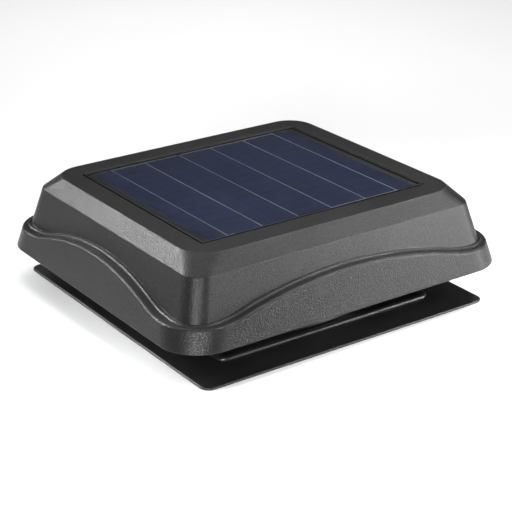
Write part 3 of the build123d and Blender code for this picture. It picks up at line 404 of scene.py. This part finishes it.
RIBBON = metal("tinned_ribbon", (0.46, 0.47, 0.50), 0.32, stretch=(1.0, 0.1, 1.0))
MAGNET = metal("magnet_plate", (0.44, 0.44, 0.45), 0.26, depth=0.01)
COPPER = copper()
LAMINATIONS = laminations()
BOARD = circuit_board()
SILICON = silicon()
GLASS = pane()
BORDER_FILM = film("border_film", (0.007, 0.007, 0.008))
BACK_FILM = film("back_film", (0.012, 0.012, 0.013))

CAD_MATERIALS = {
    "base_flashing": BASE_PLASTIC, "panel_glass": GLASS, "solar_cells": SILICON, "cell_ribbons": RIBBON,
    "panel_backsheet": BACK_FILM, "panel_seal": SEALANT, "panel_frame_front": ANODISED_PAINTED_SHADE_SIDES,
    "panel_frame_rear": ANODISED_PAINTED_SHADE_SIDES, "panel_frame_left": ANODISED_PAINTED_SHADE_SIDES, "panel_frame_right": ANODISED_PAINTED_SHADE_SIDES,
    "frame_corner_keys": CAST, "panel_brackets": ZINC, "panel_bracket_screws": ZINC,
    "junction_box": BOX_PLASTIC, "junction_box_lid": BOX_PLASTIC, "junction_box_terminals": ZINC,
    "bypass_diode": PHENOLIC, "junction_box_gland": BOX_PLASTIC, "panel_lead": JACKET,
    "motor_lead": JACKET, "lead_clips": BOX_PLASTIC, "lead_grommets": RUBBER,
    "venturi_ring": BLACK_STEEL, "base_rivets": CAST, "hood_legs": BLACK_STEEL,
    "hood_bolts": ZINC, "bracket_arm_1": BLACK_STEEL, "bracket_arm_2": BLACK_STEEL,
    "bracket_arm_3": BLACK_STEEL, "bracket_arm_4": BLACK_STEEL, "motor_plate": GALVANISED,
    "bracket_bolts": ZINC, "vibration_isolators": RUBBER, "motor_mount_screws": ZINC,
    "motor_can": MOTOR_PAINT, "motor_end_cap": CAST, "stator_core": LAMINATIONS,
    "stator_windings": COPPER, "controller_board": BOARD, "wave_washer": POLISHED,
    "bearing_outer_races": POLISHED, "thermal_switch": PHENOLIC, "motor_shaft": POLISHED,
    "rotor_core": LAMINATIONS, "rotor_magnets": MAGNET, "bearing_inner_races": POLISHED,
    "fan_hub": ZINC, "hub_set_screw": BLACK_STEEL, "fan_spider": GALVANISED, "blade_rivets": CAST,
    "lower_bearing_balls": POLISHED, "upper_bearing_balls": POLISHED,
}
CAD_MATERIALS.update({f"fan_blade_{n}": BLADE for n in range(1, 6)})
for node_name, material in CAD_MATERIALS.items():
    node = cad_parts[node_name]
    node.data.materials.clear()
    node.data.materials.append(material)


# ------------------------------------------------------------------ hood
def arch_height(distance, arch, shift):
    """Height of the arched ledge at a distance from the middle of its side."""
    peak, main_radius, reverse_radius = arch
    main_radius, reverse_radius = main_radius - shift, reverse_radius + shift
    level, top = LEDGE_Z - shift, peak - shift
    rise = level + reverse_radius - (top - main_radius)
    end = math.sqrt((main_radius + reverse_radius) ** 2 - rise ** 2)
    joint = end * main_radius / (main_radius + reverse_radius)
    distance = abs(distance)
    if distance <= joint:
        return top - main_radius + math.sqrt(main_radius ** 2 - distance ** 2)
    if distance < end:
        return level + reverse_radius - math.sqrt(reverse_radius ** 2 - (end - distance) ** 2)
    return level


def ledge_height(x, y, shift):
    """Height of the ledge at a point of the hood's outline."""
    return max(arch_height(x, FRONT_ARCH, shift), arch_height(y, SIDE_ARCH, shift))


def outline_point(station, half_x, half_y, radius):
    """A point of a rounded rectangle. Even stations are sides, odd ones are corners."""
    part, share = int(station) % 8, station - int(station)
    flat_x, flat_y = half_x - radius, half_y - radius
    if part % 2 == 0:
        along_x, along_y = (2 * share - 1) * flat_x, (2 * share - 1) * flat_y
        sides = ((along_x, -half_y), (half_x, along_y), (-along_x, half_y), (-half_x, -along_y))
        return sides[part // 2]
    angle = math.radians(-90.0 + 90.0 * (part // 2) + 90.0 * share)
    centre_x = flat_x if part in (1, 3) else -flat_x
    centre_y = flat_y if part in (3, 5) else -flat_y
    return centre_x + radius * math.cos(angle), centre_y + radius * math.sin(angle)


def skirt_form(z, shift):
    """Half sizes and corner radius of the skirt at a height."""
    inset = (z - HOOD_BOTTOM) * SKIRT_SLOPE + shift * math.hypot(1, SKIRT_SLOPE)
    radius = BOTTOM_RADIUS + (z - HOOD_BOTTOM) * SKIRT_RADIUS_GAIN - shift
    return HALF_X - inset, HALF_Y - inset, radius


def body_form(z, shift):
    """Half sizes and corner radius of the upper body at a height."""
    inset = CREASE_INSET - (CREASE_Z - z) * BODY_SLOPE + shift * math.hypot(1, BODY_SLOPE)
    return HALF_X - inset, HALF_Y - inset, BODY_RADIUS - shift


def on_form(station, z, form):
    """A point of an outline at a height."""
    return Vector((*outline_point(station, *form), z))


def on_ledge(station, form_at, shift):
    """Where the ledge's height is met by the outline that the form gives."""
    z = LEDGE_Z
    for _ in range(8):
        x, y = outline_point(station, *form_at(z, shift))
        z = ledge_height(x, y, shift)
    return Vector((x, y, z))


def hood_corners(station):
    """The corners of the hood's section at a station, each with its rounding radius.

    A low roll runs along the foot of the wall, on the ledge.
    """
    crease_drop = WALL * (math.hypot(1, SHOULDER_SLOPE) - math.hypot(1, BODY_SLOPE))
    crease_drop /= SHOULDER_SLOPE - BODY_SLOPE
    inner_crease = CREASE_Z - crease_drop
    inner_top = HOOD_TOP - WALL
    inner_inset = TOP_INSET - WALL * SHOULDER_SLOPE + WALL * math.hypot(1, SHOULDER_SLOPE)
    top_form = (HALF_X - TOP_INSET, HALF_Y - TOP_INSET, TOP_RADIUS)
    inner_form = (HALF_X - inner_inset, HALF_Y - inner_inset, TOP_RADIUS - WALL)
    opening = (OPENING_HALF_X, OPENING_HALF_Y, OPENING_RADIUS)
    rim = (OPENING_HALF_X + RIM_WALL, OPENING_HALF_Y + RIM_WALL, RIM_RADIUS)
    edge, root = on_ledge(station, skirt_form, 0.0), on_ledge(station, body_form, 0.0)
    rise = Vector((0.0, 0.0, ROLL_HEIGHT))
    return [
        (on_form(station, HOOD_BOTTOM, skirt_form(HOOD_BOTTOM, 0.0)), 0.9),
        (edge, 4.0),
        (root.lerp(edge, 0.36), 1.6),
        (root.lerp(edge, 0.25) + rise, 1.3),
        (root.lerp(edge, 0.12) + rise, 0.8),
        (root, 1.0),
        (on_form(station, CREASE_Z, body_form(CREASE_Z, 0.0)), 3.5),
        (on_form(station, HOOD_TOP, top_form), 2.0),
        (on_form(station, HOOD_TOP, opening), 0.8),
        (on_form(station, RIM_BOTTOM, opening), 0.5),
        (on_form(station, RIM_BOTTOM, rim), 0.5),
        (on_form(station, inner_top, rim), 1.0),
        (on_form(station, inner_top, inner_form), 1.5),
        (on_form(station, inner_crease, body_form(inner_crease, WALL)), 2.0),
        (on_ledge(station, body_form, WALL), 3.0),
        (on_ledge(station, skirt_form, WALL), 2.0),
        (on_form(station, HOOD_BOTTOM, skirt_form(HOOD_BOTTOM, WALL)), 0.6),
    ]


def rounded_section(corners, arc_steps, flat_shares):
    """Points of a closed section with each corner rounded by an arc between its two flats."""
    starts, ends, arcs = [], [], []
    count = len(corners)
    for index, (corner, radius) in enumerate(corners):
        before, after = corners[index - 1][0] - corner, corners[(index + 1) % count][0] - corner
        half_turn = (math.pi - before.angle(after)) / 2
        reach = min(radius * math.tan(half_turn), 0.45 * before.length, 0.45 * after.length)
        start, end = corner + before.normalized() * reach, corner + after.normalized() * reach
        weight = math.cos(half_turn)
        arc = []
        for step in range(arc_steps + 1):
            t = step / arc_steps
            a, b, c = (1 - t) ** 2, 2 * t * (1 - t) * weight, t ** 2
            arc.append((start * a + corner * b + end * c) / (a + b + c))
        arcs.append(arc)
        starts.append(start)
        ends.append(end)
    points = []
    for index in range(count):
        points.extend(arcs[index])
        following = starts[(index + 1) % count]
        points.extend(ends[index].lerp(following, share) for share in flat_shares)
    return points


def stations(side_steps, corner_steps):
    """Stations round the hood, close together in the corners."""
    places = []
    for side in range(4):
        places.extend(2 * side + step / side_steps for step in range(side_steps))
        places.extend(2 * side + 1 + step / corner_steps for step in range(corner_steps))
    return places


def lathe(profile, x, y, sides):
    """A turned closed shape about a vertical axis, from (radius, height) points."""
    verts = []
    for radius, z in profile:
        for step in range(sides):
            angle = 2 * math.pi * step / sides
            verts.append((x + radius * math.cos(angle), y + radius * math.sin(angle), z))
    return verts, grid_faces(len(profile), sides, True)


def make_hood():
    """The hood's shell with rounded creases, and the bosses moulded on its inside."""
    places = stations(72, 22)
    verts = []
    for place in places:
        ring = rounded_section(hood_corners(place), 6, (0.04, 0.35, 0.65, 0.96))
        verts.extend(tuple(point) for point in ring)
    section = len(verts) // len(places)
    parts = [(verts, grid_faces(len(places), section, True))]
    ceiling = HOOD_TOP - WALL + 0.5
    for sx in (-1, 1):
        for sy in (-1, 1):
            profile = [(2.55, LEG_TOP), (5.6, LEG_TOP), (6.0, LEG_TOP + 0.4), (6.0, ceiling - 3),
                       (7.0, ceiling - 0.8), (7.4, ceiling), (2.55, ceiling)]
            parts.append(lathe(profile, sx * BOSS_X, sy * BOSS_Y, 28))
    for x, y in BRACKET_BOSSES:
        profile = [(1.8, BRACKET_Z), (4.7, BRACKET_Z), (5.0, BRACKET_Z + 0.4), (5.0, ceiling - 3),
                   (5.8, ceiling - 0.8), (6.2, ceiling), (1.8, ceiling)]
        parts.append(lathe(profile, x, y, 24))
    hood = joined("hood", parts, HOOD_PLASTIC)
    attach(hood, "housing")
    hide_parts("hood_shell")


# ------------------------------------------------------------------ panel border
def make_border():
    """The black border film round the cells, level with the underside of the glass."""
    low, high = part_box("panel_encapsulant")
    cell_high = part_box("solar_cells")[1]
    outer_x, outer_y = high[0] / MM, high[1] / MM
    inner_x, inner_y = cell_high[0] / MM, cell_high[1] / MM + RIBBON_ROOM
    bottom, top = low[2] / MM, high[2] / MM
    corners = ((-1, -1), (1, -1), (1, 1), (-1, 1))
    verts = []
    for half_x, half_y, z in ((outer_x, outer_y, bottom), (outer_x, outer_y, top),
                              (inner_x, inner_y, top), (inner_x, inner_y, bottom)):
        verts.extend((sx * half_x, sy * half_y, z) for sx, sy in corners)
    border = mesh_object("border_film", verts, grid_faces(4, 4, True), BORDER_FILM, smooth=False)
    rounding = border.modifiers.new("edges", "BEVEL")
    rounding.width = 0.08 * MM
    rounding.segments = 2
    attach(border, "housing")
    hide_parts("panel_encapsulant")


# ------------------------------------------------------------------ insect screen
def make_screen():
    """Welded wire cloth round and over the motor, with its rolled hems."""
    low, high = screen_low[2] / MM, screen_high[2] / MM
    uprights = int(2 * math.pi * SCREEN_R / WIRE_PITCH)
    wires = []
    for step in range(uprights):
        angle = 2 * math.pi * step / uprights
        x, y = (SCREEN_R + WIRE_R) * math.cos(angle), (SCREEN_R + WIRE_R) * math.sin(angle)
        wires.append(tube([(x, y, low + 2), (x, y, high - 2)], WIRE_R, 5, False))
    hoops = int((high - low - 8) / WIRE_PITCH)
    for step in range(hoops):
        z = low + 5 + WIRE_PITCH * (step + 0.5)
        hoop = [((SCREEN_R - WIRE_R) * math.cos(a * math.pi / 90),
                 (SCREEN_R - WIRE_R) * math.sin(a * math.pi / 90), z) for a in range(180)]
        wires.append(tube(hoop, WIRE_R, 5, True))
    rows = int(SCREEN_R / WIRE_PITCH)
    for step in range(-rows, rows + 1):
        across = step * WIRE_PITCH
        reach = math.sqrt(max(0.0, (SCREEN_R - 1.5) ** 2 - across ** 2))
        for along_x in (True, False):
            z = high - 1.0 if along_x else high - 1.0 - 2 * WIRE_R
            for start, end in clear_of_grommet(across, reach):
                ends = [(start, across, z), (end, across, z)]
                if not along_x:
                    ends = [(across, start, z), (across, end, z)]
                wires.append(tube(ends, WIRE_R, 5, False))
    cloth = joined("screen_cloth", wires, WIRE)
    hems = []
    for z0, z1 in ((low, low + HEM_HEIGHT), (high - HEM_HEIGHT, high)):
        profile = [(-1.2, z0), (1.2, z0), (1.6, z0 + 0.6), (1.6, z1 - 0.6),
                   (1.2, z1), (-1.2, z1), (-1.5, z1 - 0.6), (-1.5, z0 + 0.6)]
        hems.append(lathe([(SCREEN_R + out, z) for out, z in profile], 0, 0, 180))
    rim = joined("screen_hems", hems, WIRE)
    eye = [(6.0, high - 2.0), (EYELET_R, high - 2.0), (EYELET_R + 0.4, high - 1.6),
           (EYELET_R + 0.4, high - 0.4), (EYELET_R, high), (6.0, high)]
    plate = joined("screen_eyelet", [lathe(eye, LEAD_PLACE, LEAD_PLACE, 40)], WIRE)
    for piece in (cloth, rim, plate):
        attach(piece, "housing")
    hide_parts("insect_screen")


def clear_of_grommet(across, reach):
    """The spans of a top wire, broken where the lead's eyelet is."""
    gap = abs(across - LEAD_PLACE)
    if gap > EYELET_R:
        return [(-reach, reach)]
    half = math.sqrt((EYELET_R + 0.2) ** 2 - gap ** 2)
    spans = [(-reach, LEAD_PLACE - half)]
    if reach > LEAD_PLACE + half:
        spans.append((LEAD_PLACE + half, reach))
    return spans


make_hood()
make_border()
make_screen()


# ------------------------------------------------------------------ floor, light and camera
def make_stage():
    """A wide pale floor, its half size in metres."""
    nodes = Nodes("pale_floor")
    tone = nodes.noise(2.0, detail=2.0)
    nodes.set(Base_Color=nodes.mix(tone, (0.92, 0.92, 0.92), (0.94, 0.94, 0.94)), Roughness=0.9,
              Specular_IOR_Level=0.1)
    size = 14.0
    mesh = bpy.data.meshes.new("floor")
    verts = [(-size, -size, 0), (size, -size, 0), (size, size, 0), (-size, size, 0)]
    mesh.from_pydata(verts, [], [(0, 1, 2, 3)])
    mesh.materials.append(nodes.material)
    floor = bpy.data.objects.new("floor", mesh)
    scene.collection.objects.link(floor)


def softbox(name, direction, distance, size, watts, aim=(0.0, 0.0, 0.1), beam=180.0):
    """A soft light that looks at the object from a direction, with a grid if its beam is narrow.

    Distance, size and aim are in metres, the beam in degrees.
    """
    lamp = bpy.data.lights.new(name, "AREA")
    lamp.shape = "RECTANGLE"
    lamp.size, lamp.size_y = size
    lamp.energy = watts
    lamp.spread = math.radians(beam)
    holder = bpy.data.objects.new(name, lamp)
    spot = Vector(aim) + Vector(direction).normalized() * distance
    holder.location = spot
    holder.rotation_euler = (Vector(aim) - spot).to_track_quat("-Z", "Y").to_euler()
    scene.collection.objects.link(holder)


def make_light():
    """Soft studio light: a wide ceiling box, open boxes for the edges, gridded boxes for the sides."""
    world = bpy.data.worlds.new("studio")
    world.use_nodes = True
    sky = world.node_tree.nodes["Background"]
    sky.inputs["Color"].default_value = (1.0, 1.0, 1.0, 1.0)
    sky.inputs["Strength"].default_value = 0.04
    scene.world = world
    shoulder, front_shoulder = (-0.25, -0.25, 0.14), (0.30, -0.25, 0.16)
    skirt, front = (-0.25, -0.25, 0.10), (0.27, -0.30, 0.10)
    softbox("ceiling_box", (0.0, 0.0, 1.0), 3.6, (6.0, 6.0), 92)
    softbox("front_edge_box", (0.53, 0.0, 0.85), 3.5, (0.7, 0.7), 30)
    softbox("front_line_box", (0.53, 0.0, 0.85), 3.4, (0.3, 0.3), 1.6, front, 22.0)
    softbox("top_edge_box", (-0.03, 0.20, 0.98), 3.5, (0.7, 0.7), 24)
    softbox("left_edge_box", (-0.08, 0.75, 0.66), 3.5, (0.7, 0.7), 22)
    softbox("top_box", (0.45, 0.62, 0.64), 3.5, (0.9, 0.9), 6)
    softbox("rear_left_box", (-0.505, 0.75, 0.425), 3.0, (0.7, 0.6), 2.8, shoulder, 22.0)
    softbox("front_right_box", (0.76, -0.64, 0.15), 3.0, (0.7, 0.6), 3.0, front, 22.0)
    softbox("front_shoulder_box", (0.58, -0.52, 0.63), 3.0, (0.7, 0.6), 1.2, front_shoulder, 22.0)
    softbox("corner_strip", (-0.62, -0.78, 0.20), 3.2, (0.35, 1.6), 4.2, skirt, 22.0)


def make_camera():
    """A long lens at the product's usual three-quarter view. Places are in metres."""
    azimuth, elevation = math.radians(-35.19), math.radians(23.34)
    distance = 2.3926
    target = Vector((-0.00932, -0.02449, 0.060))
    back = Vector((math.sin(azimuth) * math.cos(elevation), -math.cos(azimuth) * math.cos(elevation),
                   math.sin(elevation)))
    data = bpy.data.cameras.new("camera")
    data.sensor_width = 36.0
    data.lens = 107.4
    data.clip_end = 60.0
    camera = bpy.data.objects.new("camera", data)
    camera.location = target + back * distance
    camera.rotation_euler = (-back).to_track_quat("-Z", "Y").to_euler()
    scene.collection.objects.link(camera)
    scene.camera = camera


make_stage()
make_light()
make_camera()
scene.view_settings.view_transform = "Standard"
